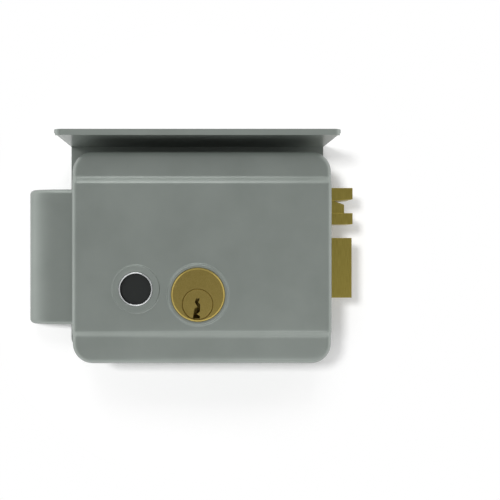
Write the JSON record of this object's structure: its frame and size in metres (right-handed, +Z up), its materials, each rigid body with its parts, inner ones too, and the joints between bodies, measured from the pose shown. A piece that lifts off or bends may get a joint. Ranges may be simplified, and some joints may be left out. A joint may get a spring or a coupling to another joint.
{
  "type": "electric gate lock",
  "caption": "Surface-mounted electric gate lock: pressed case under a rain hood, key cylinder, push button, sliding side wing and brass bolts.",
  "frame": {"origin": "middle of the four fixing holes, on the face that lies on the gate", "axes": "+X towards the bolts' tips, +Y into the gate, +Z up; the front looks along -Y"},
  "size_m": [0.1749, 0.052, 0.118],
  "materials": {
    "grey_paint": "satin silver-grey paint",
    "zinc_steel": "bright zinc plate",
    "brass": "machined brass",
    "chrome": "polished chrome plate",
    "black_plastic": "moulded black plastic",
    "copper_wire": "enamelled copper winding",
    "soft_iron": "plain soft iron",
    "black_rubber": "moulded rubber",
    "spring_steel": "drawn spring wire"
  },
  "bodies": {
    "case": {"rain_hood": "grey_paint", "base_plate": "zinc_steel", "front_cover": "grey_paint", "cover_screws": "zinc_steel", "guide_screws": "zinc_steel", "lock_frame": "zinc_steel", "frame_screws": "zinc_steel", "lever_pivots": "zinc_steel", "bolt_rail": "zinc_steel", "cylinder_body": "brass", "cylinder_nut": "zinc_steel", "button_bezel": "chrome", "button_nut": "zinc_steel", "coil_bobbin": "black_plastic", "coil_winding": "copper_wire", "coil_core": "soft_iron", "coil_yoke": "soft_iron", "yoke_screws": "zinc_steel", "armature_pin": "zinc_steel", "terminal_block": "black_plastic", "terminal_screws": "brass", "cable_grommet": "black_rubber", "latch_spring": "spring_steel", "cocking_spring": "spring_steel", "draw_spring": "spring_steel", "armature_spring": "spring_steel", "button_spring": "spring_steel"},
    "carriage": {"slide_plate": "zinc_steel", "side_wing": "grey_paint", "wing_rivets": "zinc_steel"},
    "latch": {"main_latch": "brass"},
    "cocking": {"cocking_bolt": "brass"},
    "drawing_lever": {"draw_lever": "zinc_steel"},
    "loading_lever": {"load_lever": "zinc_steel"},
    "key_plug": {"cylinder_plug": "brass", "cylinder_cam": "zinc_steel"},
    "button": {"button_cap": "black_plastic"},
    "rocker": {"armature": "soft_iron"}
  },
  "joints": [
    {"name": "latch_slide", "type": "slide", "parent": "case", "child": "latch", "axis": [-1, 0, 0], "range_m": [0, 0.012], "stiffness_N_per_m": 250, "springref_m": -0.01, "deforming": ["latch_spring"]},
    {"name": "cocking_slide", "type": "slide", "parent": "case", "child": "cocking", "axis": [-1, 0, 0], "range_m": [0, 0.012], "stiffness_N_per_m": 400, "springref_m": -0.01, "deforming": ["cocking_spring"]},
    {"name": "draw_lever_swing", "type": "hinge", "parent": "case", "child": "drawing_lever", "pos_m": [0.02, 0, -0.026], "axis": [0, 1, 0], "range_deg": [-35, 0], "deforming": ["draw_spring"]},
    {"name": "load_lever_swing", "type": "hinge", "parent": "case", "child": "loading_lever", "pos_m": [0.02, 0, 0.0452], "axis": [0, 1, 0], "range_deg": [0, 35]},
    {"name": "key_turn", "type": "hinge", "parent": "case", "child": "key_plug", "pos_m": [-0.0022, 0, -0.0236], "axis": [0, 1, 0], "range_deg": [-30, 90]},
    {"name": "button_press", "type": "slide", "parent": "case", "child": "button", "axis": [0, 1, 0], "range_m": [0, 0.0035], "stiffness_N_per_m": 500, "springref_m": -0.003, "deforming": ["button_spring"]},
    {"name": "armature_tilt", "type": "hinge", "parent": "case", "child": "rocker", "pos_m": [-0.025, 0, 0.0442], "axis": [0, 1, 0], "range_deg": [0, 6], "stiffness_Nm_per_rad": 0.3, "springref_deg": -5.73, "deforming": ["armature_spring"]},
    {"name": "carriage_slide", "type": "slide", "parent": "case", "child": "carriage", "axis": [1, 0, 0], "range_m": [0, 0.0286]}
  ],
  "couplings": [
    {"joint": "draw_lever_swing", "follows": "latch_slide", "rad_per_m": -50.782},
    {"joint": "load_lever_swing", "follows": "cocking_slide", "rad_per_m": 50.782}
  ]
}
